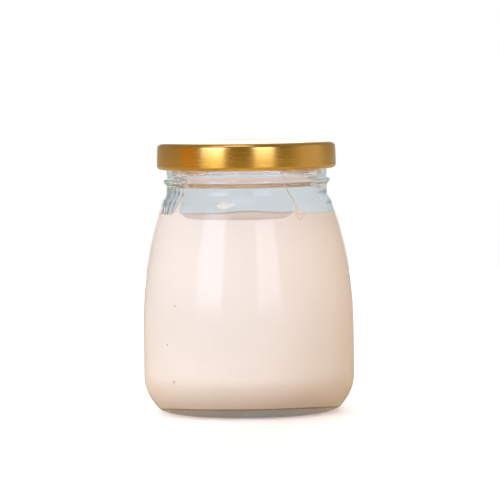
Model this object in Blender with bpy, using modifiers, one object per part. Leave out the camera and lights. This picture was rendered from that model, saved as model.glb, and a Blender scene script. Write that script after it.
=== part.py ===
"""Glass pudding jar with a gold metal lug lid and its milk pudding.

Three solids about one upright axis: jar_glass, lid and pudding. Metres, +Z up.
The origin is the centre of the foot, on the plane that the jar stands on.
"""

import math

import bmesh
import bpy

MM = 0.001

# ---- driving dimensions, in millimetres ----
STEPS = 48  # facets round the axis

# glass, outside
TOTAL_H = 84.4  # foot to the top of the lid
BODY_R = 32.9
NECK_R = 25.0
FOOT_R = 25.4  # outer edge of the flat ring that the jar stands on
FOOT_INNER_R = 22.6
PUSH_UP = 1.3  # height of the hollow under the base
HEEL_TOP = 12.0
HEEL_DROP = 5.6
HEEL_POWER = 2.4
SHOULDER_FROM = 26.0
SHOULDER_SPAN = 42.0
SHOULDER_DROP = 7.35
SHOULDER_POWER = 2.1
STEP_LOW, STEP_HIGH = 66.0, 69.6  # where the shoulder tucks in under the bead
BEAD_Z, BEAD_HALF, BEAD_PROUD = 72.25, 1.65, 1.0
RIM_TOP = 82.9
RIM_RADIUS = 1.15

# glass, inside
NECK_INNER_R = 22.3
BODY_INNER_R = 30.5
FLOOR_Z = 3.9
FLOOR_DOME = 0.5
FLOOR_R = 24.2
INNER_HEEL_TOP = 13.0
BLEND_FROM, BLEND_TO = 64.0, 70.5  # where the shoulder turns into the neck

# four short lugs on the outside of the finish, which the lid turns under
LUGS = 4
LUG_AZIMUTH = -47.0
LUG_SPAN = 40.0
LUG_Z = 76.0
LUG_BOW = 0.5
LUG_THICK = 1.15
LUG_PROUD = 0.85

# lid
LID_R = 28.0
LID_BOTTOM = 75.9
LID_WALL = 0.6
LID_TOP_CURVE = 1.6
LID_HEM_CURVE = 1.15
LID_HEM_INNER_R = 26.35
LID_PANEL_R = 23.6
LID_PANEL_DROP = 0.45

# pudding
LEVEL = 60.4
MENISCUS = 0.35
GAP = 0.36  # kept between the pudding and the glass


def smooth(t):
    t = min(1.0, max(0.0, t))
    return t * t * (3.0 - 2.0 * t)


def outer_radius(z):
    """Radius of the glass outside, from the heel up to the neck."""
    r = BODY_R
    if z < HEEL_TOP:
        r -= HEEL_DROP * ((HEEL_TOP - z) / HEEL_TOP) ** HEEL_POWER
    if z > SHOULDER_FROM:
        r -= SHOULDER_DROP * ((z - SHOULDER_FROM) / SHOULDER_SPAN) ** SHOULDER_POWER
    tuck = smooth((z - STEP_LOW) / (STEP_HIGH - STEP_LOW))
    r = r * (1.0 - tuck) + NECK_R * tuck
    off = abs(z - BEAD_Z) / BEAD_HALF
    if off < 1.0:
        r += BEAD_PROUD * math.cos(off * math.pi / 2.0) ** 1.5
    return r


def inner_radius(z):
    """Radius of the glass inside, from the floor up to the neck."""
    body = BODY_INNER_R
    if z < INNER_HEEL_TOP:
        span = INNER_HEEL_TOP - FLOOR_Z
        body -= (BODY_INNER_R - FLOOR_R) * ((INNER_HEEL_TOP - z) / span) ** HEEL_POWER
    if z > SHOULDER_FROM:
        body -= SHOULDER_DROP * ((z - SHOULDER_FROM) / SHOULDER_SPAN) ** SHOULDER_POWER
    blend = smooth((z - BLEND_FROM) / (BLEND_TO - BLEND_FROM))
    return body * (1.0 - blend) + NECK_INNER_R * blend


def span(low, high, count):
    """count + 1 heights, evenly spaced."""
    return [low + (high - low) * i / count for i in range(count + 1)]


def arc(r, z, radius, start, end, count):
    """Points along an arc of the section, angles in degrees from +X."""
    points = []
    for i in range(count + 1):
        a = math.radians(start + (end - start) * i / count)
        points.append((r + radius * math.cos(a), z + radius * math.sin(a)))
    return points


def glass_section():
    """Closed section of the jar: down the outside, under the foot, up the inside."""
    lip_r = (NECK_R + NECK_INNER_R) / 2.0
    lip_half = (NECK_R - NECK_INNER_R) / 2.0
    points = []
    # over the rim, from its crown to the outside
    for i in range(4):
        a = math.radians(90.0 - 30.0 * i)
        points.append(
            (
                lip_r + lip_half * math.cos(a),
                RIM_TOP - RIM_RADIUS + RIM_RADIUS * math.sin(a),
            )
        )
    points.append((NECK_R, 77.0))
    bead = span(BEAD_Z + BEAD_HALF, BEAD_Z - BEAD_HALF, 6)
    points += [(outer_radius(z), z) for z in bead]
    points += [(outer_radius(z), z) for z in (69.6, 68.2, 67.0, 65.8)]
    points += [(outer_radius(z), z) for z in span(62.5, SHOULDER_FROM, 9)]
    points += [(outer_radius(z), z) for z in span(HEEL_TOP, 0.9, 7)]
    # roll on to the flat ring of the foot
    foot_edge = outer_radius(0.9)
    for i in (1, 2):
        t = i / 3.0
        points.append(
            (
                foot_edge + (FOOT_R - foot_edge) * t ** 0.8,
                0.9 * (1.0 - t) ** 1.5,
            )
        )
    points.append((FOOT_R, 0.0))
    points.append((FOOT_INNER_R, 0.0))
    points.append((FOOT_INNER_R - 2.0, PUSH_UP * 0.6))
    points.append((FOOT_INNER_R * 0.6, PUSH_UP * 0.9))
    points.append((0.0, PUSH_UP))
    # up the inside
    points.append((0.0, FLOOR_Z + FLOOR_DOME))
    points.append((FLOOR_R * 0.55, FLOOR_Z + FLOOR_DOME * 0.6))
    points += [(inner_radius(z), z) for z in span(FLOOR_Z, INNER_HEEL_TOP, 5)]
    points += [(inner_radius(z), z) for z in span(SHOULDER_FROM, 61.0, 4)]
    points += [(inner_radius(z), z) for z in span(BLEND_FROM, BLEND_TO, 4)]
    points.append((NECK_INNER_R, RIM_TOP - RIM_RADIUS))
    for i in (1, 2):
        a = math.radians(180.0 - 30.0 * i)
        points.append(
            (
                lip_r + lip_half * math.cos(a),
                RIM_TOP - RIM_RADIUS + RIM_RADIUS * math.sin(a),
            )
        )
    return points


def lid_section():
    """Open-bottomed cap: down the outside, round the hem, up the inside."""
    top = TOTAL_H
    points = [(0.0, top - LID_PANEL_DROP)]
    points.append((LID_PANEL_R - 1.2, top - LID_PANEL_DROP))
    points.append((LID_PANEL_R, top - LID_PANEL_DROP * 0.5))
    points.append((LID_PANEL_R + 1.0, top))
    points += arc(
        LID_R - LID_TOP_CURVE, top - LID_TOP_CURVE, LID_TOP_CURVE, 90.0, 0.0, 4
    )
    hem_z = LID_BOTTOM + LID_HEM_CURVE
    points += arc(LID_R - LID_HEM_CURVE, hem_z, LID_HEM_CURVE, 0.0, -90.0, 3)
    points.append((LID_HEM_INNER_R + 0.25, LID_BOTTOM + 0.1))
    points.append((LID_HEM_INNER_R, LID_BOTTOM + 0.5))
    points.append((LID_HEM_INNER_R, LID_BOTTOM + 1.3))
    inner_r = LID_R - LID_WALL
    points.append((inner_r, LID_BOTTOM + 1.9))
    corner = LID_TOP_CURVE - LID_WALL
    under = top - LID_WALL
    points += arc(inner_r - corner, under - corner, corner, 0.0, 90.0, 2)
    points.append((LID_PANEL_R + 0.9, under))
    points.append((LID_PANEL_R - 0.3, under - LID_PANEL_DROP * 0.3))
    points.append((0.0, under - LID_PANEL_DROP * 0.3))
    return points


def inset(z, gap):
    """A point of the inner wall at height z, moved inwards by gap, square to the wall."""
    low, high = max(FLOOR_Z, z - 0.05), z + 0.05
    slope = (inner_radius(high) - inner_radius(low)) / (high - low)
    length = math.hypot(1.0, slope)
    return inner_radius(z) - gap / length, z + gap * slope / length


def pudding_section():
    """Set pudding to its level, a little clear of the glass all round."""
    points = [(0.0, LEVEL)]
    edge = inner_radius(LEVEL) - GAP
    points.append((edge - 2.2, LEVEL))
    points.append((edge - 0.8, LEVEL + MENISCUS * 0.35))
    heights = [LEVEL + MENISCUS, LEVEL - 1.2] + span(57.5, SHOULDER_FROM, 6)
    heights += span(INNER_HEEL_TOP, FLOOR_Z + 0.05, 6)
    points += [inset(z, GAP) for z in heights]
    points.append((FLOOR_R * 0.55, FLOOR_Z + FLOOR_DOME * 0.6 + GAP * 1.1))
    points.append((0.0, FLOOR_Z + FLOOR_DOME + GAP * 1.1))
    return points


def material(name, colour, roughness, metallic=0.0, transmission=0.0, ior=1.5):
    made = bpy.data.materials.new(name)
    made.use_nodes = True
    shader = made.node_tree.nodes["Principled BSDF"]
    shader.inputs["Base Color"].default_value = (*colour, 1.0)
    shader.inputs["Roughness"].default_value = roughness
    shader.inputs["Metallic"].default_value = metallic
    shader.inputs["Transmission Weight"].default_value = transmission
    shader.inputs["IOR"].default_value = ior
    return made


def turned(name, section, collection, finish):
    """A solid of revolution: the section as a wire, swept round Z by a Screw modifier."""
    mesh = bpy.data.meshes.new(name)
    wire = bmesh.new()
    verts = [wire.verts.new((r * MM, 0.0, z * MM)) for r, z in section]
    for first, second in zip(verts, verts[1:]):
        wire.edges.new((first, second))
    if section[0][0] > 0.0:
        wire.edges.new((verts[-1], verts[0]))
    wire.to_mesh(mesh)
    wire.free()
    made = bpy.data.objects.new(name, mesh)
    collection.objects.link(made)
    screw = made.modifiers.new("turn", "SCREW")
    screw.axis = "Z"
    screw.angle = 2.0 * math.pi
    screw.steps = screw.render_steps = STEPS
    screw.use_smooth_shade = True
    screw.use_merge_vertices = True
    screw.merge_threshold = 1e-6
    mesh.materials.append(finish)
    return made


def lug(index, collection, finish):
    """One raised lug on the finish: a fat tube with tapered ends, bowed down in its middle."""
    data = bpy.data.curves.new(f"lug_cutter_{index}", "CURVE")
    data.dimensions = "3D"
    data.bevel_depth = LUG_THICK * MM
    data.bevel_resolution = 2
    data.use_fill_caps = True
    count = 9
    spline = data.splines.new("POLY")
    spline.points.add(count - 1)
    middle = LUG_AZIMUTH + 360.0 / LUGS * index - 90.0
    for i, point in enumerate(spline.points):
        t = 2.0 * i / (count - 1) - 1.0
        a = math.radians(middle + t * LUG_SPAN / 2.0)
        ring = NECK_R + LUG_PROUD - LUG_THICK
        z = LUG_Z + LUG_BOW * t * t
        point.co = (ring * MM * math.cos(a), ring * MM * math.sin(a), z * MM, 1.0)
        point.radius = 0.25 + 0.75 * math.sqrt(max(0.0, 1.0 - t * t))
    made = bpy.data.objects.new(f"lug_{index}", data)
    collection.objects.link(made)
    bpy.context.view_layer.update()
    graph = bpy.context.evaluated_depsgraph_get()
    mesh = bpy.data.meshes.new_from_object(made.evaluated_get(graph))
    tube = bmesh.new()
    tube.from_mesh(mesh)
    bmesh.ops.remove_doubles(tube, verts=tube.verts, dist=1e-6)
    bmesh.ops.recalc_face_normals(tube, faces=tube.faces)
    tube.to_mesh(mesh)
    tube.free()
    solid = bpy.data.objects.new(f"lug_solid_{index}", mesh)
    solid.matrix_world = made.matrix_world
    collection.objects.link(solid)
    bpy.data.objects.remove(made)
    solid.hide_render = True
    solid.display_type = "WIRE"
    mesh.materials.clear()
    mesh.materials.append(finish)
    return solid


def main():
    for item in list(bpy.data.objects):
        bpy.data.objects.remove(item)
    scene = bpy.context.scene.collection
    jar = bpy.data.collections.new("pudding_jar")
    helpers = bpy.data.collections.new("helpers")
    scene.children.link(jar)
    scene.children.link(helpers)

    glass = material("clear_glass", (0.97, 0.985, 0.98), 0.02, 0.0, 1.0, 1.52)
    gold = material("gold_lacquer", (0.72, 0.46, 0.12), 0.28, 1.0)
    milk = material("milk_pudding", (0.91, 0.82, 0.75), 0.35)

    bottle = turned("jar_glass", glass_section(), jar, glass)
    for index in range(LUGS):
        union = bottle.modifiers.new(f"lug_{index}", "BOOLEAN")
        union.operation = "UNION"
        union.solver = "EXACT"
        union.object = lug(index, helpers, glass)
    turned("lid", lid_section(), jar, gold)
    turned("pudding", pudding_section(), jar, milk)


main()
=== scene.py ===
"""Looks of the glass pudding jar: clear glass, gold lug lid, set milk pudding.

Everything is turned about the jar's own upright axis, in metres.
"""

import math

import bmesh
import bpy
from mathutils import Matrix, Vector, noise


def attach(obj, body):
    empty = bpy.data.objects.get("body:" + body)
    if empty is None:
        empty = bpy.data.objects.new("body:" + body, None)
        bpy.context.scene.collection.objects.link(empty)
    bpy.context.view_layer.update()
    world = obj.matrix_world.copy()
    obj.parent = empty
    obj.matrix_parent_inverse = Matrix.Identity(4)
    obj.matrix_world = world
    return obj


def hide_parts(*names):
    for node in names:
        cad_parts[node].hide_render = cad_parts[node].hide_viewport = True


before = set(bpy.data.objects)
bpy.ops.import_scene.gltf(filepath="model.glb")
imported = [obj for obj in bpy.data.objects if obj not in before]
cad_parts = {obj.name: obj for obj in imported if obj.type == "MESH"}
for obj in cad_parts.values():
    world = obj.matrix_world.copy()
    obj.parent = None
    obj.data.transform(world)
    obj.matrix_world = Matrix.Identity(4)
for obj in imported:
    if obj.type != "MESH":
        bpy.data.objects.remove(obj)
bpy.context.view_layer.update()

MM = 0.001

# ---------------------------------------------------------------- the jar's shape
BODY_R = 32.9
NECK_R = 25.0
FOOT_R = 25.4
FOOT_INNER_R = 22.6
PUSH_UP = 1.3
HEEL_TOP, HEEL_DROP, HEEL_POWER = 12.0, 5.6, 2.4
SHOULDER_FROM, SHOULDER_SPAN = 26.0, 42.0
SHOULDER_DROP, SHOULDER_POWER = 7.35, 2.1
STEP_LOW, STEP_HIGH = 66.0, 69.6
BEAD_Z, BEAD_HALF, BEAD_PROUD = 72.25, 1.65, 1.0
RIM_TOP, RIM_RADIUS = 82.9, 1.15
NECK_INNER_R, BODY_INNER_R = 22.3, 30.5
FLOOR_Z, FLOOR_DOME, FLOOR_R = 3.9, 0.5, 24.2
INNER_HEEL_TOP = 13.0
BLEND_FROM, BLEND_TO = 64.0, 70.5
LUGS, LUG_AZIMUTH, LUG_SPAN = 4, -47.0, 40.0
LUG_Z, LUG_BOW, LUG_THICK, LUG_PROUD = 76.0, 0.5, 1.15, 0.85

LID_R, LID_BOTTOM, TOTAL_H = 28.0, 75.9, 84.4
LID_SHEET = 0.32
LID_TOP_CURVE, LID_HEM_CURVE, LID_HEM_INNER_R = 1.6, 1.15, 26.35
LID_PANEL_R, LID_PANEL_DROP = 23.6, 0.45

LEVEL = 60.4
MENISCUS = 0.42
MILK_DARK, MILK_LIGHT = (0.900, 0.822, 0.812), (0.930, 0.860, 0.855)
# milk standing up the wall: azimuth (0 at the camera, positive to its right) and height
CLIMB = (
    (-180.0, 0.0), (-92.0, 0.0), (-84.0, 0.5), (-76.0, 1.0), (-68.0, 0.95), (-63.0, 1.0),
    (-60.0, 1.4), (-58.2, 2.2), (-56.0, 3.3), (-53.9, 2.5), (-52.4, 1.75), (-50.1, 1.15),
    (-46.4, 0.5), (-39.0, 0.12), (-29.0, 0.0), (12.0, 0.0), (22.8, 0.15), (26.6, 0.55),
    (30.7, 1.05), (33.5, 2.0), (35.3, 3.0), (36.9, 3.1), (39.2, 2.4), (42.7, 1.45),
    (46.7, 1.2), (53.0, 1.15), (61.0, 1.1), (75.0, 1.0), (84.0, 0.5), (92.0, 0.0),
    (180.0, 0.0),
)
INTO_WALL = 0.12  # how far the pudding reaches into the glass, so that no air shows


def smooth(t):
    t = min(1.0, max(0.0, t))
    return t * t * (3.0 - 2.0 * t)


def outer_radius(z):
    r = BODY_R
    if z < HEEL_TOP:
        r -= HEEL_DROP * ((HEEL_TOP - z) / HEEL_TOP) ** HEEL_POWER
    if z > SHOULDER_FROM:
        r -= SHOULDER_DROP * ((z - SHOULDER_FROM) / SHOULDER_SPAN) ** SHOULDER_POWER
    tuck = smooth((z - STEP_LOW) / (STEP_HIGH - STEP_LOW))
    r = r * (1.0 - tuck) + NECK_R * tuck
    off = abs(z - BEAD_Z) / BEAD_HALF
    if off < 1.0:
        r += BEAD_PROUD * math.cos(off * math.pi / 2.0) ** 1.5
    return r


def inner_radius(z):
    body = BODY_INNER_R
    if z < INNER_HEEL_TOP:
        span = INNER_HEEL_TOP - FLOOR_Z
        body -= (BODY_INNER_R - FLOOR_R) * ((INNER_HEEL_TOP - z) / span) ** HEEL_POWER
    if z > SHOULDER_FROM:
        body -= SHOULDER_DROP * ((z - SHOULDER_FROM) / SHOULDER_SPAN) ** SHOULDER_POWER
    blend = smooth((z - BLEND_FROM) / (BLEND_TO - BLEND_FROM))
    return body * (1.0 - blend) + NECK_INNER_R * blend


def steps(low, high, size):
    """Heights from low to high, about size apart, both ends included."""
    count = max(1, round(abs(high - low) / size))
    return [low + (high - low) * i / count for i in range(count + 1)]


def arc(r, z, radius_r, radius_z, start, end, count):
    found = []
    for i in range(count + 1):
        a = math.radians(start + (end - start) * i / count)
        found.append((r + radius_r * math.cos(a), z + radius_z * math.sin(a)))
    return found


def lug_radius(angle, z):
    """Radius of the raised lugs on the finish at this angle in degrees, or 0 away from them."""
    best = 0.0
    for k in range(LUGS):
        middle = LUG_AZIMUTH - 90.0 + 360.0 / LUGS * k
        off = (angle - middle + 180.0) % 360.0 - 180.0
        t = off / (LUG_SPAN / 2.0)
        if abs(t) >= 1.0:
            continue
        thick = LUG_THICK * (0.25 + 0.75 * math.sqrt(1.0 - t * t))
        dz = z - (LUG_Z + LUG_BOW * t * t)
        if abs(dz) < thick:
            ring = NECK_R + LUG_PROUD - LUG_THICK
            best = max(best, ring + math.sqrt(thick * thick - dz * dz))
    return best


def uneven(angle, z, seed, size, amount):
    """A slow unevenness of blown glass, in millimetres."""
    a = math.radians(angle)
    p = Vector((math.cos(a) * size, math.sin(a) * size, z * 0.035 * size + seed))
    return amount * noise.noise(p)


def lathe(name, section, count, place, close):
    """A turned mesh. section is a list of (r, z); place(angle, r, z, i) moves a point."""
    verts, faces = [], []
    rings = []
    for i, (r, z) in enumerate(section):
        if r < 1e-6:
            x, y, zz = place(0.0, 0.0, z, i)
            verts.append((0.0, 0.0, zz * MM))
            rings.append([len(verts) - 1] * count)
            continue
        ring = []
        for k in range(count):
            angle = 360.0 * k / count
            x, y, zz = place(angle, r, z, i)
            verts.append((x * MM, y * MM, zz * MM))
            ring.append(len(verts) - 1)
        rings.append(ring)
    pairs = list(zip(rings, rings[1:]))
    if close:
        pairs.append((rings[-1], rings[0]))
    for upper, lower in pairs:
        for k in range(count):
            n = (k + 1) % count
            quad = [upper[k], lower[k], lower[n], upper[n]]
            corners = []
            for v in quad:
                if v not in corners:
                    corners.append(v)
            if len(corners) >= 3:
                faces.append(corners)
    mesh = bpy.data.meshes.new(name)
    mesh.from_pydata(verts, [], faces)
    mesh.validate()
    mesh.shade_smooth()
    made = bpy.data.objects.new(name, mesh)
    bpy.context.scene.collection.objects.link(made)
    return made


def first_vertex(section, ring, count):
    """Number of the first vertex of a ring of a lathe whose section starts on the axis."""
    return 1 + (ring - 1) * count


def polar(angle, r, z):
    a = math.radians(angle)
    return r * math.cos(a), r * math.sin(a), z


# ---------------------------------------------------------------- materials
def new_material(name):
    made = bpy.data.materials.new(name)
    made.use_nodes = True
    tree = made.node_tree
    shader = tree.nodes["Principled BSDF"]
    return made, tree, shader


def node(tree, kind, **values):
    made = tree.nodes.new(kind)
    for key, value in values.items():
        setattr(made, key, value)
    return made


def glass_material():
    made, tree, shader = new_material("jar_glass_clear")
    shader.inputs["Base Color"].default_value = (0.985, 0.995, 0.995, 1.0)
    shader.inputs["Transmission Weight"].default_value = 1.0
    shader.inputs["IOR"].default_value = 1.5
    shader.inputs["Specular Tint"].default_value = (0.5, 0.5, 0.5, 1.0)
    shader.inputs["Metallic"].default_value = 0.0
    # faint ripple and the odd rub mark on blown glass
    where = node(tree, "ShaderNodeTexCoord")
    ripple = node(tree, "ShaderNodeTexNoise")
    ripple.inputs["Scale"].default_value = 55.0
    ripple.inputs["Detail"].default_value = 1.5
    stretch = node(tree, "ShaderNodeMapping")
    stretch.inputs["Scale"].default_value = (1.0, 1.0, 0.45)
    tree.links.new(where.outputs["Object"], stretch.inputs["Vector"])
    tree.links.new(stretch.outputs["Vector"], ripple.inputs["Vector"])
    bump = node(tree, "ShaderNodeBump")
    bump.inputs["Strength"].default_value = 0.12
    bump.inputs["Distance"].default_value = 0.0006
    tree.links.new(ripple.outputs["Fac"], bump.inputs["Height"])
    tree.links.new(bump.outputs["Normal"], shader.inputs["Normal"])
    smear = node(tree, "ShaderNodeTexNoise")
    smear.inputs["Scale"].default_value = 140.0
    smear.inputs["Detail"].default_value = 4.0
    tree.links.new(where.outputs["Object"], smear.inputs["Vector"])
    rough = node(tree, "ShaderNodeMapRange")
    rough.inputs["From Min"].default_value = 0.45
    rough.inputs["From Max"].default_value = 0.75
    rough.inputs["To Min"].default_value = 0.012
    rough.inputs["To Max"].default_value = 0.05
    tree.links.new(smear.outputs["Fac"], rough.inputs["Value"])
    tree.links.new(rough.outputs["Result"], shader.inputs["Roughness"])
    absorb = node(tree, "ShaderNodeVolumeAbsorption")
    absorb.inputs["Color"].default_value = (0.80, 0.90, 0.93, 1.0)
    absorb.inputs["Density"].default_value = 55.0
    out = tree.nodes["Material Output"]
    tree.links.new(absorb.outputs["Volume"], out.inputs["Volume"])
    return made


def gold_material(name, grain_scale):
    made, tree, shader = new_material(name)
    shader.inputs["Metallic"].default_value = 1.0
    shader.inputs["Coat Weight"].default_value = 1.0
    shader.inputs["Coat Roughness"].default_value = 0.16
    shader.inputs["Coat IOR"].default_value = 1.9
    shader.inputs["Anisotropic"].default_value = 0.6
    shader.inputs["Anisotropic Rotation"].default_value = 0.25
    round_axis = node(tree, "ShaderNodeTangent", direction_type="RADIAL", axis="Z")
    tree.links.new(round_axis.outputs["Tangent"], shader.inputs["Tangent"])
    where = node(tree, "ShaderNodeTexCoord")
    # satin grain, drawn out round the skirt
    grain_map = node(tree, "ShaderNodeMapping")
    grain_map.inputs["Scale"].default_value = grain_scale
    tree.links.new(where.outputs["Object"], grain_map.inputs["Vector"])
    grain = node(tree, "ShaderNodeTexNoise")
    grain.inputs["Scale"].default_value = 1.0
    grain.inputs["Detail"].default_value = 5.0
    grain.inputs["Roughness"].default_value = 0.62
    tree.links.new(grain_map.outputs["Vector"], grain.inputs["Vector"])
    cloud = node(tree, "ShaderNodeTexNoise")
    cloud.inputs["Scale"].default_value = 60.0
    cloud.inputs["Detail"].default_value = 2.0
    tree.links.new(where.outputs["Object"], cloud.inputs["Vector"])
    tone = node(tree, "ShaderNodeValToRGB")
    tone.color_ramp.elements[0].position = 0.30
    tone.color_ramp.elements[0].color = (0.74, 0.385, 0.035, 1.0)
    tone.color_ramp.elements[1].position = 0.72
    tone.color_ramp.elements[1].color = (0.86, 0.475, 0.050, 1.0)
    blend = node(tree, "ShaderNodeMix", data_type="FLOAT")
    blend.inputs["Factor"].default_value = 0.45
    tree.links.new(grain.outputs["Fac"], blend.inputs["A"])
    tree.links.new(cloud.outputs["Fac"], blend.inputs["B"])
    tree.links.new(blend.outputs["Result"], tone.inputs["Fac"])
    tree.links.new(tone.outputs["Color"], shader.inputs["Base Color"])
    rough = node(tree, "ShaderNodeMapRange")
    rough.inputs["From Min"].default_value = 0.25
    rough.inputs["From Max"].default_value = 0.75
    rough.inputs["To Min"].default_value = 0.24
    rough.inputs["To Max"].default_value = 0.29
    tree.links.new(grain.outputs["Fac"], rough.inputs["Value"])
    tree.links.new(rough.outputs["Result"], shader.inputs["Roughness"])
    bump = node(tree, "ShaderNodeBump")
    bump.inputs["Strength"].default_value = 0.12
    bump.inputs["Distance"].default_value = 0.00006
    tree.links.new(grain.outputs["Fac"], bump.inputs["Height"])
    tree.links.new(bump.outputs["Normal"], shader.inputs["Normal"])
    return made


def lining_material():
    """The pale lacquer on the inside of the lid."""
    made, tree, shader = new_material("lid_inside_lacquer")
    shader.inputs["Metallic"].default_value = 0.05
    shader.inputs["Specular IOR Level"].default_value = 0.5
    where = node(tree, "ShaderNodeTexCoord")
    mottle = node(tree, "ShaderNodeTexNoise")
    mottle.inputs["Scale"].default_value = 260.0
    mottle.inputs["Detail"].default_value = 3.0
    tree.links.new(where.outputs["Object"], mottle.inputs["Vector"])
    tone = node(tree, "ShaderNodeValToRGB")
    tone.color_ramp.elements[0].position = 0.3
    tone.color_ramp.elements[0].color = (0.90, 0.76, 0.65, 1.0)
    tone.color_ramp.elements[1].position = 0.7
    tone.color_ramp.elements[1].color = (0.95, 0.83, 0.72, 1.0)
    tree.links.new(mottle.outputs["Fac"], tone.inputs["Fac"])
    tree.links.new(tone.outputs["Color"], shader.inputs["Base Color"])
    rough = node(tree, "ShaderNodeMapRange")
    rough.inputs["To Min"].default_value = 0.30
    rough.inputs["To Max"].default_value = 0.48
    tree.links.new(mottle.outputs["Fac"], rough.inputs["Value"])
    tree.links.new(rough.outputs["Result"], shader.inputs["Roughness"])
    bump = node(tree, "ShaderNodeBump")
    bump.inputs["Strength"].default_value = 0.15
    bump.inputs["Distance"].default_value = 0.0001
    tree.links.new(mottle.outputs["Fac"], bump.inputs["Height"])
    tree.links.new(bump.outputs["Normal"], shader.inputs["Normal"])
    return made


def pudding_material(name, shine, rough_low, rough_high, dark=MILK_DARK, light=MILK_LIGHT):
    made, tree, shader = new_material(name)
    shader.inputs["Specular IOR Level"].default_value = shine
    shader.inputs["IOR"].default_value = 1.4
    where = node(tree, "ShaderNodeTexCoord")
    slow = node(tree, "ShaderNodeTexNoise")
    slow.inputs["Scale"].default_value = 42.0
    slow.inputs["Detail"].default_value = 3.0
    tree.links.new(where.outputs["Object"], slow.inputs["Vector"])
    fine = node(tree, "ShaderNodeTexNoise")
    fine.inputs["Scale"].default_value = 900.0
    fine.inputs["Detail"].default_value = 3.0
    tree.links.new(where.outputs["Object"], fine.inputs["Vector"])
    blend = node(tree, "ShaderNodeMix", data_type="FLOAT")
    blend.inputs["Factor"].default_value = 0.3
    tree.links.new(slow.outputs["Fac"], blend.inputs["A"])
    tree.links.new(fine.outputs["Fac"], blend.inputs["B"])
    tone = node(tree, "ShaderNodeValToRGB")
    tone.color_ramp.elements[0].position = 0.32
    tone.color_ramp.elements[0].color = (*dark, 1.0)
    tone.color_ramp.elements[1].position = 0.68
    tone.color_ramp.elements[1].color = (*light, 1.0)
    tree.links.new(blend.outputs["Result"], tone.inputs["Fac"])
    tree.links.new(tone.outputs["Color"], shader.inputs["Base Color"])
    rough = node(tree, "ShaderNodeMapRange")
    rough.inputs["From Min"].default_value = 0.3
    rough.inputs["From Max"].default_value = 0.7
    rough.inputs["To Min"].default_value = rough_low
    rough.inputs["To Max"].default_value = rough_high
    tree.links.new(fine.outputs["Fac"], rough.inputs["Value"])
    tree.links.new(rough.outputs["Result"], shader.inputs["Roughness"])
    bump = node(tree, "ShaderNodeBump")
    bump.inputs["Strength"].default_value = 0.25
    bump.inputs["Distance"].default_value = 0.00015
    tree.links.new(blend.outputs["Result"], bump.inputs["Height"])
    tree.links.new(bump.outputs["Normal"], shader.inputs["Normal"])
    return made


# ---------------------------------------------------------------- glass
def glass_section():
    """(r, z, side) down the outside, under the foot and up the inside."""
    lip_r = (NECK_R + NECK_INNER_R) / 2.0
    lip_half = (NECK_R - NECK_INNER_R) / 2.0
    rim_z = RIM_TOP - RIM_RADIUS
    outside = arc(lip_r, rim_z, lip_half, RIM_RADIUS, 90.0, 0.0, 10)
    outside += [(NECK_R, z) for z in steps(rim_z - 0.5, 78.2, 0.9)]
    outside += [(NECK_R, z) for z in steps(77.9, 74.3, 0.14)]
    outside += [(outer_radius(z), z) for z in steps(74.1, 65.4, 0.14)]
    outside += [(outer_radius(z), z) for z in steps(64.9, 12.5, 0.8)]
    outside += [(outer_radius(z), z) for z in steps(12.0, 0.9, 0.3)]
    edge = outer_radius(0.9)
    for i in range(1, 8):
        t = i / 8.0
        outside.append((edge + (FOOT_R - edge) * t**0.8, 0.9 * (1.0 - t) ** 1.5))
    outside += [(r, 0.0) for r in steps(FOOT_R, FOOT_INNER_R, 0.35)]
    outside += arc(FOOT_INNER_R - 2.0, 0.0, 1.7, 0.9, 0.0, 90.0, 6)
    outside += [
        (r, 0.9 + (PUSH_UP - 0.9) * (1.0 - (r / 20.6) ** 2))
        for r in steps(19.0, 1.0, 2.0)
    ]
    outside.append((0.0, PUSH_UP))
    inside = [(0.0, FLOOR_Z + FLOOR_DOME)]
    inside += [
        (r, FLOOR_Z + FLOOR_DOME * (1.0 - (r / FLOOR_R) ** 2))
        for r in steps(1.0, FLOOR_R - 1.2, 2.0)
    ]
    inside += [(inner_radius(z), z) for z in steps(FLOOR_Z, INNER_HEEL_TOP, 0.35)]
    inside += [(inner_radius(z), z) for z in steps(13.6, 57.4, 0.9)]
    inside += [(inner_radius(z), z) for z in steps(58.0, BLEND_TO, 0.35)]
    inside += [(NECK_INNER_R, z) for z in steps(71.5, rim_z, 1.2)]
    inside += arc(lip_r, rim_z, lip_half, RIM_RADIUS, 171.0, 99.0, 8)
    return outside, inside


def make_glass():
    outside, inside = glass_section()
    first_inner = len(outside)

    def place(angle, r, z, i):
        if r < 1e-6:
            return 0.0, 0.0, z
        outer = i < first_inner
        if outer and 74.0 < z < 78.2:
            lug = lug_radius(angle, z)
            if lug > r:
                r = lug
        fade = smooth((z - 4.0) / 8.0) * smooth((71.0 - z) / 4.0)
        if outer:
            if z > 3.0:
                # the two mould seams, hair-thin
                seam = (angle - 22.0 + 90.0) % 180.0 - 90.0
                r += 0.05 * math.exp(-((seam / 0.55) ** 2)) * fade
            r += uneven(angle, z, 3.1, 1.1, 0.05) * fade
        else:
            r += uneven(angle, z, 11.7, 1.4, 0.22) * fade
            r += uneven(angle, z, 27.3, 3.5, 0.06) * fade + streaks(angle, z)
        if outer and z < 0.01 and FOOT_INNER_R < r < FOOT_R:
            # knurled bearing ring
            mid = (FOOT_R + FOOT_INNER_R) / 2.0
            half = (FOOT_R - FOOT_INNER_R) / 2.0
            depth = max(0.0, 1.0 - ((r - mid) / half) ** 2)
            z += 0.11 * depth * (0.5 - 0.5 * math.cos(math.radians(angle * 64.0)))
        return polar(angle, r, z)

    made = lathe("jar_glass_blown", outside + inside, 256, place, True)
    made.data.materials.append(glass_material())
    # light reaches what is inside as if the clear wall weren't there
    made.visible_shadow = False
    made.visible_diffuse = False
    return made


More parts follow.
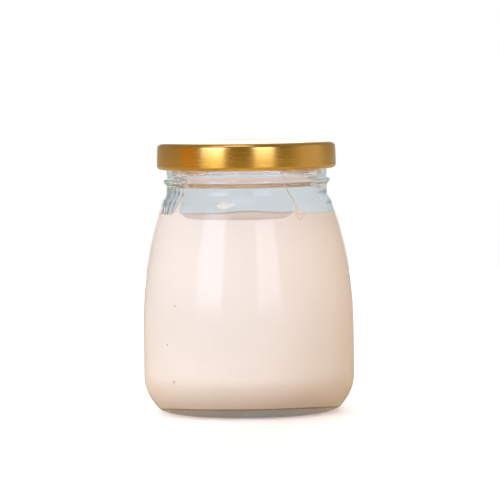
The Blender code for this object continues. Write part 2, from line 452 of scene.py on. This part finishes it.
def streaks(angle, z):
    """Upright ripples in the inner wall of the neck, on its left."""
    front = (angle + 270.0) % 360.0 - 180.0
    where = smooth((-50.0 - front) / 6.0) * smooth((front + 92.0) / 8.0)
    where *= smooth((z - 61.0) / 2.5) * smooth((71.5 - z) / 2.5)
    phase = front / 7.0 + 0.08 * math.sin(z * 0.9) + 0.35 * math.sin(front * 0.11)
    tall = 0.055 + 0.025 * math.sin(front * 0.45 + z * 0.5)
    return tall * where * math.sin(2.0 * math.pi * phase)


def wall_radius(angle, z):
    """The inner wall as make_glass leaves it, for what clings to it."""
    fade = smooth((z - 4.0) / 8.0) * smooth((71.0 - z) / 4.0)
    r = inner_radius(z) if z < BLEND_TO else NECK_INNER_R
    r += uneven(angle, z, 11.7, 1.4, 0.22) * fade
    r += uneven(angle, z, 27.3, 3.5, 0.06) * fade + streaks(angle, z)
    return r


def climb(front):
    """How far milk stands up the wall above the level edge, by azimuth (0 at the camera)."""
    for (a0, h0), (a1, h1) in zip(CLIMB, CLIMB[1:]):
        if a0 <= front <= a1:
            return h0 + (h1 - h0) * smooth((front - a0) / (a1 - a0))
    return 0.0


# ---------------------------------------------------------------- pudding
def make_pudding():
    top = [(0.0, LEVEL)]
    edge = inner_radius(LEVEL)
    top += [(r, LEVEL) for r in steps(0.8, edge - 2.6, 0.8)]
    for i in range(1, 9):
        t = i / 8.0
        top.append((edge - 2.6 + 2.6 * t, LEVEL + MENISCUS * t**2.5))
    low_ring = LEVEL + MENISCUS - 0.3
    follow = (0.97, 0.9, 0.65, 0.35)  # how far up the climb the highest wall rings stand
    wall = [(edge, low_ring + 0.3 * part) for part in follow]
    wall += [(inner_radius(z), z) for z in steps(low_ring, 13.6, 0.6)]
    wall += [(inner_radius(z), z) for z in steps(INNER_HEEL_TOP, FLOOR_Z, 0.35)]
    base = [
        (r, FLOOR_Z + FLOOR_DOME * (1.0 - (r / FLOOR_R) ** 2) - INTO_WALL)
        for r in steps(FLOOR_R - 1.2, 1.0, 2.0)
    ]
    base.append((0.0, FLOOR_Z + FLOOR_DOME - INTO_WALL))
    first_wall, first_base = len(top), len(top) + len(wall)

    def place(angle, r, z, i):
        if i < first_wall:
            if r > 1e-6:
                lift = (r / edge) ** 6
                z += uneven(angle, r * 0.6, 5.0, 2.2, 0.10) * (1.0 - lift)
                near = (r - (edge - 2.6)) / 2.6
                if near > 0.0:
                    up = climb((angle + 270.0) % 360.0 - 180.0)
                    away = (edge - r) * (1.0 - 0.55 * min(1.0, up))
                    z += up * near**5
                    r = min(r, wall_radius(angle, z) - away)
                if i == first_wall - 1:
                    r = wall_radius(angle, z) + INTO_WALL
            return polar(angle, r, z) if r > 1e-6 else (0.0, 0.0, z)
        if i < first_base:
            if i < first_wall + len(follow):
                z += climb((angle + 270.0) % 360.0 - 180.0) * follow[i - first_wall]
            low = max(FLOOR_Z, z - 0.05)
            slope = (inner_radius(z + 0.05) - inner_radius(low)) / (z + 0.05 - low)
            length = math.hypot(1.0, slope)
            r = wall_radius(angle, z) + INTO_WALL / length
            return polar(angle, r, z - INTO_WALL * slope / length)
        return polar(angle, r, z) if r > 1e-6 else (0.0, 0.0, z)

    made = lathe("milk_pudding", top + wall + base, 360, place, False)
    mesh = made.data
    mesh.materials.append(pudding_material("milk_pudding_body", 0.08, 0.42, 0.55))
    # painted light: the open top gets a lighter colour than the body, to brighten it in the lid's
    # shade
    mesh.materials.append(pudding_material(
            "milk_pudding_top_painted_light", 0.25, 0.26, 0.38, (0.95, 0.862, 0.825), (0.972, 0.895, 0.865)
        ))
    # painted shade: a dark brown ring on the pudding where its foot meets the corner of the glass
    # floor
    mesh.materials.append(
        pudding_material(
            "milk_pudding_low_edge_painted_shade", 0.08, 0.42, 0.55, (0.50, 0.36, 0.25), (0.58, 0.43, 0.31)
        )
    )
    for face in mesh.polygons:
        # the ring of wall faces at the floor corner gets the painted shade
        if (FLOOR_Z - 0.3) * MM < face.center.z < (FLOOR_Z + 0.22) * MM:
            if math.hypot(face.center.x, face.center.y) > (FLOOR_R - 0.5) * MM:
                face.material_index = 2
        # faces of the open top get the painted-light top colour
        inside = math.hypot(face.center.x, face.center.y) < (edge - 0.25) * MM
        if inside and face.center.z > (LEVEL - 0.4) * MM and face.normal.z > 0.3:
            face.material_index = 1
    return made


def closed_mesh(name, rings, loop, material):
    """A closed mesh through rings of points in millimetres; loop joins the last to the first."""
    verts = [(x * MM, y * MM, z * MM) for ring in rings for x, y, z in ring]
    count = len(rings[0])
    pairs = [(i, i + 1) for i in range(len(rings) - 1)]
    if loop:
        pairs.append((len(rings) - 1, 0))
    faces = []
    for a, b in pairs:
        for k in range(count):
            n = (k + 1) % count
            faces.append((a * count + k, b * count + k, b * count + n, a * count + n))
    if not loop:
        last = (len(rings) - 1) * count
        faces.append(tuple(range(count)))
        faces.append(tuple(last + k for k in reversed(range(count))))
    mesh = bpy.data.meshes.new(name)
    mesh.from_pydata(verts, [], faces)
    mesh.validate()
    shape = bmesh.new()
    shape.from_mesh(mesh)
    bmesh.ops.recalc_face_normals(shape, faces=shape.faces)
    shape.to_mesh(mesh)
    shape.free()
    mesh.shade_smooth()
    mesh.materials.append(material)
    made = bpy.data.objects.new(name, mesh)
    bpy.context.scene.collection.objects.link(made)
    return made


def on_wall(front, z, across, up, out):
    """A point on the inner wall near (front, z), moved along the wall and out into the glass."""
    r = wall_radius(front - 90.0, z + up)
    angle = front - 90.0 + math.degrees(across / r)
    z += up
    return polar(angle, wall_radius(angle, z) + out, z)


def trickle(name, path, material, sink=-1.0):
    """A trickle of milk on the inner wall. path holds (azimuth, z, width, thickness).

    Below the height sink it goes into the pudding.
    """
    rings = []
    points = []
    for a, b in zip(path, path[1:]):
        for k in range(6):
            t = k / 6.0
            points.append([p + (q - p) * smooth(t) * 0.5 + (q - p) * t * 0.5 for p, q in zip(a, b)])
    points.append(list(path[-1]))
    for i, (front, z, width, thick) in enumerate(points):
        wobble = 1.0 + 0.18 * noise.noise(Vector((z * 1.7, front * 0.3, 2.0)))
        half = 0.5 * width * wobble
        back = INTO_WALL + 0.03 - 0.12 * smooth((sink - z) / 1.2)
        ring = []
        for k in range(9):
            u = k / 4.0 - 1.0
            depth = (thick + INTO_WALL) * (1.0 - abs(u) ** 2.5)
            ring.append(on_wall(front, z, u * half, 0.0, min(INTO_WALL, back) - depth))
        for u in (0.55, 0.0, -0.55):
            ring.append(on_wall(front, z, u * half, 0.0, back))
        rings.append(ring)
    return closed_mesh(name, rings, False, material)


def bubble(name, front, z, radius, tube, material):
    """The ring where a small bubble touches the wall."""
    rings = []
    for i in range(28):
        a = 2.0 * math.pi * i / 28
        ring = []
        for k in range(8):
            b = 2.0 * math.pi * k / 8
            reach = radius + tube * math.sin(b)
            ring.append(
                on_wall(front, z, reach * math.cos(a), reach * math.sin(a), 0.1 + tube * math.cos(b))
            )
        rings.append(ring)
    return closed_mesh(name, rings, True, material)


def speck(name, front, z, wide, tall, lean, out, material, ragged=0.16):
    """A flat grain against the wall, leaning over by the given degrees."""
    turn = math.radians(lean)
    rings = []
    for i in range(7):
        lat = math.pi * (i + 0.5) / 7 - math.pi / 2
        ring = []
        for k in range(36):
            b = 2.0 * math.pi * k / 36
            edge = 1.0 + ragged * noise.noise(Vector((math.cos(b) * 1.6, math.sin(b) * 1.6, front)))
            c, d = math.cos(b), math.sin(b)
            u = wide * edge * math.cos(lat) * math.copysign(abs(c) ** 0.8, c)
            v = tall * edge * math.cos(lat) * math.copysign(abs(d) ** 0.8, d)
            across = u * math.cos(turn) - v * math.sin(turn)
            up = u * math.sin(turn) + v * math.cos(turn)
            ring.append(on_wall(front, z, across, up, out + 0.06 * math.sin(lat)))
        rings.append(ring)
    return closed_mesh(name, rings, False, material)


def film_patch(name, front, z, outline, thick, material):
    """A thin patch on the wall. outline holds points (across, up) round it in millimetres."""
    edge = []
    count = len(outline)
    for i in range(count):
        p0, p1, p2, p3 = (outline[(i + k - 1) % count] for k in range(4))
        for k in range(6):
            t = k / 6.0
            edge.append(
                [
                    0.5 * (2 * b + (c - a) * t + (2 * a - 5 * b + 4 * c - d) * t * t
                           + (3 * b - a - 3 * c + d) * t**3)
                    for a, b, c, d in zip(p0, p1, p2, p3)
                ]
            )
    rings = []
    for part, out in (
        (0.04, 0.0), (0.3, 0.0), (0.6, 0.0), (0.85, 0.0), (0.97, -0.3), (1.0, -0.6),
        (0.95, -1.0), (0.7, -1.0), (0.35, -1.0), (0.04, -1.0),
    ):
        rings.append(
            [on_wall(front, z, part * u, part * v, 0.05 + thick * out) for u, v in edge]
        )
    return closed_mesh(name, rings, False, material)


def fade_to_pudding(material, low, high):
    """Gives a film the pudding's own colour below the height low, in millimetres."""
    tree = material.node_tree
    shader = tree.nodes["Principled BSDF"]
    ramp = tree.nodes["Color Ramp"]
    fac = ramp.inputs["Fac"].links[0].from_socket
    milk = node(tree, "ShaderNodeValToRGB")
    milk.color_ramp.elements[0].position = 0.32
    milk.color_ramp.elements[0].color = (*MILK_DARK, 1.0)
    milk.color_ramp.elements[1].position = 0.68
    milk.color_ramp.elements[1].color = (*MILK_LIGHT, 1.0)
    tree.links.new(fac, milk.inputs["Fac"])
    where = node(tree, "ShaderNodeTexCoord")
    parts = node(tree, "ShaderNodeSeparateXYZ")
    tree.links.new(where.outputs["Object"], parts.inputs[0])
    height = node(tree, "ShaderNodeMapRange")
    height.inputs["From Min"].default_value = low * MM
    height.inputs["From Max"].default_value = high * MM
    tree.links.new(parts.outputs["Z"], height.inputs["Value"])
    blend = node(tree, "ShaderNodeMix", data_type="RGBA")
    tree.links.new(height.outputs["Result"], blend.inputs["Factor"])
    tree.links.new(milk.outputs["Color"], blend.inputs["A"])
    tree.links.new(ramp.outputs["Color"], blend.inputs["B"])
    tree.links.new(blend.outputs["Result"], shader.inputs["Base Color"])


def make_clinging():
    film = pudding_material(
        "milk_film", 0.3, 0.3, 0.42, (0.80, 0.69, 0.655), (0.87, 0.78, 0.745)
    )
    fade_to_pudding(film, 62.5, 67.0)
    # painted shade: the bubbles' outlines are darker than the milk round them
    bubble_rim_shade = pudding_material(
        "milk_bubble_rim_painted_shade", 0.3, 0.3, 0.42, (0.60, 0.47, 0.42), (0.68, 0.55, 0.50)
    )
    grain = pudding_material("brown_grain", 0.1, 0.5, 0.6, (0.36, 0.22, 0.16), (0.44, 0.29, 0.22))
    faint = pudding_material("faint_grain", 0.1, 0.5, 0.6, (0.55, 0.42, 0.35), (0.61, 0.49, 0.42))
    # painted shade: a darker line for the shade in a fold of the pudding against the wall
    hair = pudding_material("faint_crease_painted_shade", 0.1, 0.5, 0.6, (0.80, 0.71, 0.67), (0.84, 0.76, 0.72))
    # painted reflection: a near-white patch standing in for a window mirrored on the back wall, drawn
    # as a thin smear
    smear = pudding_material("painted_window_reflection", 0.1, 0.4, 0.5, (0.96, 0.985, 1.0), (0.99, 1.0, 1.0))
    made = [
        trickle(
            "milk_trickle_left",
            (
                (-47.8, 76.8, 0.28, 0.10), (-49.0, 74.0, 0.34, 0.14), (-50.2, 72.8, 0.42, 0.16),
                (-50.3, 71.3, 0.58, 0.18), (-51.3, 69.9, 0.80, 0.2), (-53.3, 67.8, 1.05, 0.22),
                (-55.0, 65.9, 1.3, 0.22), (-55.7, 64.4, 1.7, 0.22), (-55.8, 63.2, 2.2, 0.2),
                (-55.8, 61.8, 2.4, 0.15),
            ),
            film,
            63.9,
        ),
        trickle(
            "milk_trickle_right",
            (
                (26.6, 76.8, 0.24, 0.10), (28.6, 74.5, 0.28, 0.12), (29.5, 72.6, 0.32, 0.14),
                (31.1, 70.6, 0.36, 0.15), (33.7, 68.3, 0.44, 0.16), (35.9, 65.9, 0.55, 0.18),
                (36.2, 64.6, 0.7, 0.2), (36.0, 63.4, 0.9, 0.2), (35.8, 61.8, 1.0, 0.15),
            ),
            film,
            63.9,
        ),
        bubble("milk_bubble_a", 36.2, 62.9, 0.38, 0.08, bubble_rim_shade),
        bubble("milk_bubble_b", 38.0, 61.4, 0.80, 0.10, bubble_rim_shade),
        bubble("milk_bubble_c", 41.9, 61.9, 0.30, 0.07, bubble_rim_shade),
        bubble("milk_bubble_d", 34.4, 61.8, 0.22, 0.06, bubble_rim_shade),
        # the painted reflection on the back wall
        film_patch(
            "wall_painted_reflection",
            -15.1,
            65.1,
            (
                (-2.95, 0.0), (-1.9, 0.62), (-0.9, 0.95), (0.8, 0.78), (2.75, 0.95),
                (2.9, 0.1), (1.3, -0.45), (-0.4, -1.0), (-1.9, -0.85),
            ),
            0.12,
            smear,
        ),
        speck("grain_a", -46.0, 34.5, 0.34, 0.24, 0.0, 0.13, faint),
        speck("grain_b", -52.6, 22.4, 0.25, 0.25, 0.0, 0.13, grain),
        speck("grain_c", -47.3, 11.1, 0.26, 0.55, -28.0, 0.13, faint),
        trickle(
            "crease",
            ((-45.0, 34.2, 0.05, 0.0), (-43.1, 33.4, 0.4, 0.0), (-40.3, 32.6, 0.4, 0.0),
             (-36.9, 31.8, 0.05, 0.0)),
            hair,
        ),
    ]
    return made


# ---------------------------------------------------------------- lid
def lid_section():
    top = TOTAL_H
    points = [(0.0, top - LID_PANEL_DROP)]
    points += [(r, top - LID_PANEL_DROP) for r in steps(1.5, LID_PANEL_R - 2.2, 1.6)]
    for i in range(1, 9):  # the step up from the panel to the shoulder ring
        t = i / 8.0
        points.append(
            (
                LID_PANEL_R - 2.0 + 2.6 * t,
                top - LID_PANEL_DROP + LID_PANEL_DROP * smooth(t),
            )
        )
    points += [(r, top) for r in steps(LID_PANEL_R + 1.1, LID_R - 2.1, 0.6)]
    points += arc(
        LID_R - 0.13 - LID_TOP_CURVE, top - LID_TOP_CURVE, LID_TOP_CURVE, LID_TOP_CURVE, 84.0, 7.0, 12
    )
    skirt_top, skirt_low = top - LID_TOP_CURVE, LID_BOTTOM + LID_HEM_CURVE + 0.2
    for z in steps(skirt_top, skirt_low, 0.35):
        t = max(0.0, (z - skirt_low) / (skirt_top - skirt_low) - 0.2) / 0.8
        points.append((LID_R - 0.13 * t * t, z))
    hem_z = LID_BOTTOM + LID_HEM_CURVE
    points += arc(LID_R - LID_HEM_CURVE, hem_z, LID_HEM_CURVE, LID_HEM_CURVE, 0.0, -84.0, 10)
    inner_half = LID_R - LID_HEM_CURVE - LID_HEM_INNER_R
    points += arc(LID_R - LID_HEM_CURVE, hem_z, inner_half, LID_HEM_CURVE, -96.0, -262.0, 14)
    inner_r = LID_R - 0.12 - LID_SHEET
    points.append((inner_r, hem_z + 1.25))
    points += [(inner_r, z) for z in steps(hem_z + 1.6, top - LID_TOP_CURVE - 0.3, 0.8)]
    corner = LID_TOP_CURVE - LID_SHEET
    under = top - LID_SHEET
    points += arc(inner_r - corner, under - corner, corner, corner, 0.0, 84.0, 8)
    points += [(r, under) for r in steps(inner_r - corner - 0.2, LID_PANEL_R + 0.6, 0.7)]
    for i in range(1, 7):
        t = i / 6.0
        points.append(
            (LID_PANEL_R + 0.3 - 1.7 * t, under - LID_PANEL_DROP * smooth(t))
        )
    points += [
        (r, under - LID_PANEL_DROP) for r in steps(LID_PANEL_R - 1.8, 1.5, 2.0)
    ]
    points.append((0.0, under - LID_PANEL_DROP))
    return points


def make_lid():
    section = lid_section()

    def place(angle, r, z, i):
        if r < 1e-6:
            return 0.0, 0.0, z
        # pressed sheet is never quite true
        r += uneven(angle, z * 0.2, 41.0, 1.6, 0.035) * smooth((r - 20.0) / 6.0)
        return polar(angle, r, z)

    made = lathe("gold_lug_lid", section, 256, place, False)
    made.data.materials.append(gold_material("gold_lacquered_tinplate", (110.0, 110.0, 2600.0)))
    made.data.materials.append(lining_material())
    made.data.materials.append(gold_material("gold_lacquered_tinplate_top", (420.0, 420.0, 420.0)))
    inside_from = section.index((LID_R - 0.12 - LID_SHEET, LID_BOTTOM + LID_HEM_CURVE + 1.25))
    for face in made.data.polygons:
        if min(face.vertices) >= first_vertex(section, inside_from, 256):
            face.material_index = 1
        elif face.normal.z > 0.9 and face.center.z > (TOTAL_H - 0.6) * MM:
            face.material_index = 2
    return made


# ---------------------------------------------------------------- stage
def make_floor():
    bpy.ops.mesh.primitive_plane_add(size=1.3, location=(0.0, 0.0, -0.0002))
    floor = bpy.context.active_object
    floor.name = "floor"
    made, tree, shader = new_material("pale_floor")
    shader.inputs["Base Color"].default_value = (0.84, 0.90, 0.98, 1.0)
    shader.inputs["Roughness"].default_value = 0.6
    shader.inputs["Specular IOR Level"].default_value = 0.2
    floor.data.materials.append(made)
    floor.visible_shadow = False
    floor.visible_diffuse = False
    floor.visible_glossy = False
    floor.visible_transmission = False

    # the table near the jar, which keeps the low lights off the jar's foot and
    # sends a little warm light back up
    warm, tree, shader = new_material("near_table")
    shader.inputs["Base Color"].default_value = (*NEAR_TABLE, 1.0)
    shader.inputs["Roughness"].default_value = 0.8
    shader.inputs["Specular IOR Level"].default_value = 0.0
    bpy.ops.mesh.primitive_circle_add(
        vertices=96, radius=NEAR_TABLE_RADIUS, fill_type="NGON", location=(0.0, 0.0, -0.0004)
    )
    patch = bpy.context.active_object
    patch.name = "shaded_patch"
    patch.data.materials.append(warm)
    patch.visible_camera = False
    patch.visible_glossy = False
    patch.visible_transmission = False
    return floor


def diffuse_panel(name, azimuth, elevation, distance, width, height, radiance, colour):
    """A large soft panel that lights the jar but isn't mirrored in it.

    Azimuth 0 is at the camera, positive to its right.
    """
    data = bpy.data.lights.new(name, "AREA")
    data.shape = "RECTANGLE"
    data.size, data.size_y = width, height
    data.color = colour
    data.energy = radiance * width * height * math.pi
    # behind clear glass, mixing the two ways of sampling a lamp loses light
    data.cycles.use_multiple_importance_sampling = False
    made = bpy.data.objects.new(name, data)
    bpy.context.scene.collection.objects.link(made)
    a, e = math.radians(azimuth), math.radians(elevation)
    aim = Vector((0.0, 0.0, 0.04))
    away = Vector((math.sin(a) * math.cos(e), -math.cos(a) * math.cos(e), math.sin(e)))
    made.location = aim + away * distance
    made.rotation_mode = "QUATERNION"
    made.rotation_quaternion = (-away).to_track_quat("-Z", "Y")
    made.visible_glossy = False
    made.visible_transmission = False
    made.visible_camera = False
    return made


def glow_under_foot():
    """The little light that the table sends up into the thick base."""
    data = bpy.data.lights.new("under_foot", "AREA")
    data.shape = "DISK"
    data.size = 2.0 * (FOOT_R - 4.2) * MM
    data.color = (0.54, 0.84, 1.0)
    data.energy = 0.62 * math.pi * (data.size / 2.0) ** 2 * math.pi
    data.cycles.use_multiple_importance_sampling = False
    made = bpy.data.objects.new("under_foot", data)
    bpy.context.scene.collection.objects.link(made)
    made.location = (0.0, 0.0, -0.0003)
    made.rotation_euler = (math.pi, 0.0, 0.0)
    made.visible_glossy = False
    made.visible_transmission = False
    made.visible_camera = False
    return made


class Sums:
    """Arithmetic on shader sockets and numbers."""

    def __init__(self, tree):
        self.tree = tree

    def feed(self, socket, value):
        if isinstance(value, (int, float)):
            socket.default_value = value
        else:
            self.tree.links.new(value, socket)

    def math(self, kind, first, second=0.0, clamp=False):
        made = self.tree.nodes.new("ShaderNodeMath")
        made.operation = kind
        made.use_clamp = clamp
        self.feed(made.inputs[0], first)
        self.feed(made.inputs[1], second)
        return made.outputs[0]

    def ramp(self, value, low, high, soft=True):
        """0 below low and 1 above high, or the other way round when low > high."""
        made = self.tree.nodes.new("ShaderNodeMapRange")
        made.interpolation_type = "SMOOTHSTEP" if soft else "LINEAR"
        made.clamp = True
        self.feed(made.inputs["Value"], value)
        if low < high:
            made.inputs["From Min"].default_value = low
            made.inputs["From Max"].default_value = high
            made.inputs["To Min"].default_value = 0.0
            made.inputs["To Max"].default_value = 1.0
        else:
            made.inputs["From Min"].default_value = high
            made.inputs["From Max"].default_value = low
            made.inputs["To Min"].default_value = 1.0
            made.inputs["To Max"].default_value = 0.0
        return made.outputs["Result"]

    def span(self, value, low, high, edge_low, edge_high=None):
        """1 between low and high, with soft edges of these widths centred on them."""
        edge_high = edge_low if edge_high is None else edge_high
        up = self.ramp(value, low - edge_low / 2.0, low + edge_low / 2.0)
        down = self.ramp(value, high + edge_high / 2.0, high - edge_high / 2.0)
        return self.math("MULTIPLY", up, down)

    def tint(self, colour, factor):
        made = self.tree.nodes.new("ShaderNodeVectorMath")
        made.operation = "SCALE"
        made.inputs[0].default_value = colour
        self.feed(made.inputs["Scale"], factor)
        return made.outputs[0]

    def mix(self, factor, first, second):
        made = self.tree.nodes.new("ShaderNodeMix")
        made.data_type = "VECTOR"
        self.feed(made.inputs["Factor"], factor)
        for socket, value in ((made.inputs[4], first), (made.inputs[5], second)):
            if isinstance(value, tuple):
                socket.default_value = value
            else:
                self.tree.links.new(value, socket)
        return made.outputs[1]

    def add(self, first, second):
        made = self.tree.nodes.new("ShaderNodeVectorMath")
        made.operation = "ADD"
        self.tree.links.new(first, made.inputs[0])
        self.tree.links.new(second, made.inputs[1])
        return made.outputs[0]


def make_world():
    """The room round the jar, by azimuth (0 at the camera, positive to its right) and elevation."""
    world = bpy.data.worlds.new("studio")
    bpy.context.scene.world = world
    # the room is what the glass and the metal mirror; the panels light the rest
    world.cycles_visibility.diffuse = False
    world.use_nodes = True
    tree = world.node_tree
    out = tree.nodes["World Output"]
    room = tree.nodes["Background"]
    room.inputs["Strength"].default_value = 1.0
    sums = Sums(tree)
    where = tree.nodes.new("ShaderNodeTexCoord")
    parts = tree.nodes.new("ShaderNodeSeparateXYZ")
    tree.links.new(where.outputs["Generated"], parts.inputs[0])
    x, y, z = parts.outputs
    turn = 180.0 / math.pi
    azimuth = sums.math(
        "MULTIPLY", sums.math("ARCTAN2", x, sums.math("MULTIPLY", y, -1.0)), turn
    )
    elevation = sums.math("MULTIPLY", sums.math("ARCSINE", z), turn)

    # the room in front, duller at the middle than at the sides
    side = sums.ramp(sums.math("ABSOLUTE", azimuth), 25.0, 95.0)
    front = sums.mix(side, ROOM_FRONT, ROOM_SIDE)
    # lower down, the table in front
    table = sums.ramp(elevation, 1.0, -9.0)
    front = sums.mix(table, front, ROOM_TABLE)
    near_table = sums.ramp(elevation, -15.0, -60.0)
    near = sums.mix(side, ROOM_NEAR_TABLE, ROOM_SIDE_TABLE)
    front = sums.mix(near_table, front, near)
    # the pale backdrop behind, duller below
    behind = sums.ramp(sums.math("ABSOLUTE", azimuth), 158.0, 172.0)
    behind = sums.math("MULTIPLY", behind, sums.ramp(elevation, 60.0, 40.0))
    backdrop = sums.mix(sums.ramp(elevation, 1.0, -4.0), ROOM_BEHIND, ROOM_BEHIND_LOW)
    colour = sums.mix(behind, front, backdrop)
    # soft light overhead
    above = sums.ramp(elevation, 48.0, 62.0)
    above = sums.math("MULTIPLY", above, sums.span(azimuth, -75.0, 15.0, 30.0))
    colour = sums.mix(above, colour, ROOM_ABOVE)

    for low_az, high_az, low_el, high_el, edge_az, edge_el, tone, slant in WINDOWS:
        across = sums.span(azimuth, low_az, high_az, edge_az)
        up = sums.span(elevation, low_el, high_el, edge_el, 3.0)
        lit = sums.math("MULTIPLY", across, up)
        if slant:
            rise = sums.ramp(azimuth, low_az, high_az, soft=False)
            lean = sums.math("ADD", sums.math("MULTIPLY", rise, slant), 1.0 - slant)
            lit = sums.math("MULTIPLY", lit, lean)
        colour = sums.add(colour, sums.tint(tone, lit))
    tree.links.new(colour, room.inputs["Color"])

    white = tree.nodes.new("ShaderNodeBackground")
    white.inputs["Color"].default_value = (1.0, 1.0, 1.0, 1.0)
    through = tree.nodes.new("ShaderNodeBackground")
    wide = sums.ramp(sums.math("ABSOLUTE", azimuth), 157.0, 141.0)
    wide = sums.math("MULTIPLY", wide, sums.ramp(elevation, 8.0, 2.0))
    left = sums.span(azimuth, -167.0, -100.0, 8.0)
    left = sums.math("MULTIPLY", left, sums.ramp(elevation, 2.0, 5.0))
    seen = sums.mix(wide, THROUGH, THROUGH_WIDE)
    seen = sums.mix(left, seen, THROUGH_LEFT)
    tree.links.new(seen, through.inputs["Color"])
    path = tree.nodes.new("ShaderNodeLightPath")
    back = sums.ramp(sums.math("ABSOLUTE", azimuth), 75.0, 100.0)
    share = sums.math("MULTIPLY", back, path.outputs["Is Transmission Ray"])
    first = tree.nodes.new("ShaderNodeMixShader")
    tree.links.new(share, first.inputs[0])
    tree.links.new(room.outputs[0], first.inputs[1])
    tree.links.new(through.outputs[0], first.inputs[2])
    second = tree.nodes.new("ShaderNodeMixShader")
    tree.links.new(path.outputs["Is Camera Ray"], second.inputs[0])
    tree.links.new(first.outputs[0], second.inputs[1])
    tree.links.new(white.outputs[0], second.inputs[2])
    tree.links.new(second.outputs[0], out.inputs["Surface"])


# the room's colours, linear
ROOM_FRONT = (0.145, 0.122, 0.06)
ROOM_SIDE = (0.33, 0.28, 0.17)
ROOM_TABLE = (0.60, 0.48, 0.27)
ROOM_NEAR_TABLE = (0.82, 0.60, 0.28)
ROOM_SIDE_TABLE = (0.48, 0.37, 0.20)
ROOM_BEHIND = (1.05, 1.06, 1.08)
ROOM_BEHIND_LOW = (0.30, 0.30, 0.26)
ROOM_ABOVE = (1.6, 1.58, 1.55)
NEAR_TABLE = (0.62, 0.47, 0.34)
NEAR_TABLE_RADIUS = 0.1
THROUGH = (0.675, 0.70, 0.735)
THROUGH_WIDE = (0.50, 0.385, 0.30)
THROUGH_LEFT = (0.33, 0.335, 0.35)
# soft windows: azimuth from and to, elevation from and to, edge widths, colour, slant
WINDOWS = (
    (-60.0, -29.5, 3.0, 29.5, 6.0, 11.0, (4.7, 5.2, 6.6), 0.45),
    (10.5, 36.0, 3.0, 29.5, 5.0, 13.0, (3.15, 3.45, 4.3), 0.0),
    (68.0, 116.0, -6.0, 30.0, 30.0, 16.0, (0.26, 0.25, 0.23), 0.0),
    (-90.0, -66.0, -6.0, 14.0, 9.0, 6.0, (0.22, 0.0, -0.12), 0.0),
    (160.0, 190.0, 2.5, 45.0, 10.0, 3.0, (0.24, 0.4, 0.6), 0.0),
    (-190.0, -160.0, 2.5, 45.0, 10.0, 3.0, (0.24, 0.4, 0.6), 0.0),
)


def make_camera():
    data = bpy.data.cameras.new("camera")
    made = bpy.data.objects.new("camera", data)
    bpy.context.scene.collection.objects.link(made)
    distance, height = 1.2, 0.124
    pixel = 0.3132 * MM
    aim = Vector((2.4 * pixel, 0.0, 50.2 * MM))
    made.location = Vector((2.4 * pixel, -distance, height))
    reach = (aim - made.location).length
    data.sensor_width = 36.0
    data.lens = 36.0 / (500.0 * pixel / reach)
    data.clip_start, data.clip_end = 0.01, 20.0
    look = (aim - made.location).to_track_quat("-Z", "Y")
    roll = Matrix.Rotation(math.radians(-0.8), 3, "Z").to_quaternion()
    made.rotation_mode = "QUATERNION"
    made.rotation_quaternion = look @ roll
    bpy.context.scene.camera = made
    return made


make_camera()
make_world()
floor = make_floor()

glass = make_glass()
pudding = make_pudding()
lid = make_lid()

for piece in make_clinging():
    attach(piece, "root")

for piece, replaced, slot in (
    (glass, "jar_glass", "glass"),
    (pudding, "pudding", "pudding"),
    (lid, "lid", "lid_gold"),
):
    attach(piece, "root")
    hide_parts(replaced)

# name, azimuth, elevation, distance, width, height, radiance, colour
PANELS = (
    ("left_front", -40.0, 8.0, 1.6, 1.2, 1.0, 3.05, (1.0, 0.985, 0.975)),
    ("front_mid", -3.0, 24.0, 1.6, 1.2, 1.0, 1.50, (1.0, 0.97, 0.95)),
    ("left_low", -70.0, -12.0, 1.6, 1.5, 1.0, 0.53, (1.0, 0.99, 0.97)),
    ("front_low", 0.0, -14.0, 1.6, 1.5, 1.0, 0.90, (1.0, 0.98, 0.97)),
    ("right_low", 80.0, -10.0, 1.6, 1.4, 1.0, 3.03, (1.0, 0.80, 0.63)),
    ("far_left", -125.0, 10.0, 1.6, 1.4, 1.2, 2.44, (1.0, 0.91, 0.83)),
    ("far_right", 112.0, 10.0, 1.6, 1.4, 1.2, 0.65, (1.0, 0.70, 0.46)),
    ("top", -10.0, 80.0, 1.6, 1.6, 1.6, 4.2, (1.0, 0.85, 0.73)),
    ("behind", 180.0, 20.0, 1.6, 1.6, 1.0, 6.5, (1.0, 0.86, 0.82)),
    ("behind_low", 180.0, -14.0, 1.6, 1.6, 1.0, 3.0, (1.0, 0.88, 0.78)),
)
for panel in PANELS:
    diffuse_panel(*panel)
glow_under_foot()

scene = bpy.context.scene
scene.view_settings.view_transform = "Standard"
scene.view_settings.look = "None"
scene.cycles.use_denoising = True
scene.cycles.use_light_tree = False
# light runs a long way inside the thick wall
scene.cycles.max_bounces = 64
scene.cycles.transmission_bounces = 64
scene.cycles.glossy_bounces = 64
scene.cycles.diffuse_bounces = 4
scene.cycles.sample_clamp_indirect = 4.0
scene.cycles.caustics_reflective = False
scene.cycles.caustics_refractive = False
